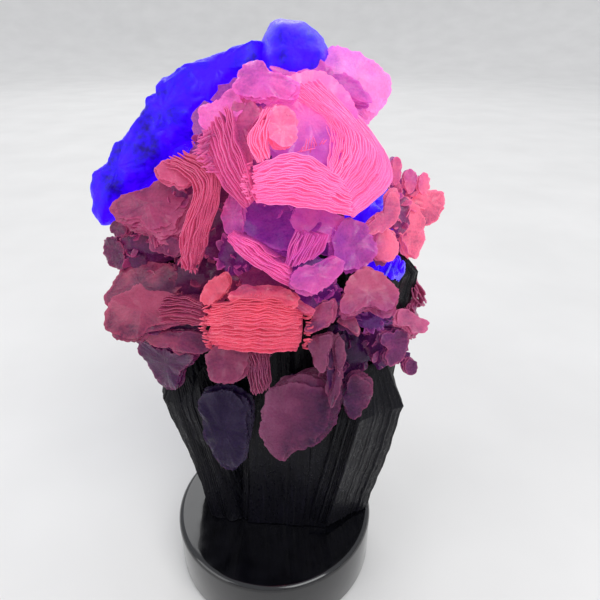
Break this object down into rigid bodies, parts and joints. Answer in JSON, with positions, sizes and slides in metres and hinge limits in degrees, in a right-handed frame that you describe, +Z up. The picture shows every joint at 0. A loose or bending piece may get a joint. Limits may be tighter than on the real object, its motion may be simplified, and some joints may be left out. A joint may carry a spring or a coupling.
{
  "type": "wolframite specimen with calcite and fluorite on a display base",
  "caption": "Fluorescent mineral specimen: a black wolframite mass with pink bladed calcite rosettes and a blue fluorite crust, standing on a round display base.",
  "frame": {"origin": "middle of the specimen's overall box, on the surface that the display base stands on", "axes": "+Z up, -Y towards the viewer of the display side, +X to that viewer's right"},
  "size_m": [0.0706, 0.055, 0.1258],
  "materials": {
    "wolframite": "black, submetallic, with fine striations and cleavage steps",
    "calcite_hot_pink": "thin translucent blades, frosted, glowing hot pink under ultraviolet light",
    "calcite_coral": "thin translucent blades, frosted, glowing coral",
    "calcite_dusky_rose": "frosted blades, dusky rose with a granular face",
    "calcite_mauve": "frosted blades, dark mauve",
    "calcite_violet": "translucent blades and hollows glowing violet",
    "fluorite_blue": "glassy translucent crust glowing electric blue",
    "base_black": "gloss black"
  },
  "bodies": {
    "root": {"wolframite_mass": "wolframite", "calcite_main_rosette": "calcite_hot_pink", "calcite_inner_petal": "calcite_coral", "calcite_left_strand": "calcite_coral", "calcite_crown": "calcite_hot_pink", "calcite_upper_right_petal": "calcite_hot_pink", "calcite_left_strap": "calcite_coral", "calcite_left_plate": "calcite_dusky_rose", "calcite_middle_fan": "calcite_coral", "calcite_second_bowl": "calcite_violet", "calcite_right_disc": "calcite_dusky_rose", "calcite_right_petal": "calcite_dusky_rose", "calcite_leaf_blades": "calcite_mauve", "calcite_hanging_blade": "calcite_mauve", "calcite_lower_leaf": "calcite_mauve", "calcite_lower_left_blade": "calcite_dusky_rose", "calcite_dark_blade": "calcite_mauve", "calcite_right_back_petals": "calcite_coral", "calcite_back_rosette": "calcite_coral", "calcite_back_blades": "calcite_dusky_rose", "calcite_right_side_rosette": "calcite_dusky_rose", "fluorite_lobe": "fluorite_blue", "fluorite_crust": "fluorite_blue", "fluorite_back": "fluorite_blue", "fluorite_window": "fluorite_blue", "display_base": "base_black"}
  },
  "joints": []
}
